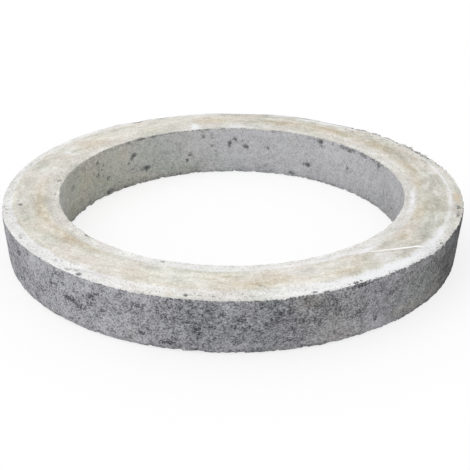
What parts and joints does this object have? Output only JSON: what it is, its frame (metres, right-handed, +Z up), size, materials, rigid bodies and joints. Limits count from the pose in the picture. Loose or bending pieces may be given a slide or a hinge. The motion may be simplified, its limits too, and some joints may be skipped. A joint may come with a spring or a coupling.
{
  "type": "manhole adjusting ring",
  "caption": "Flat round precast concrete ring with a wide access bore and a low raised bearing band, bedded in mortar to bring a manhole cover frame up to level.",
  "frame": {"origin": "centre of the underside, on the axis of the bore", "axes": "+Z up along the axis of the bore, with the raised bearing band facing +Z; X and Y lie in the underside and are alike, because the ring is round"},
  "size_m": [0.7994, 0.7994, 0.1],
  "materials": {
    "concrete": "cast, open-textured grey sides and a smooth pale top"
  },
  "bodies": {
    "root": {"adjusting_ring": "concrete"}
  },
  "joints": []
}
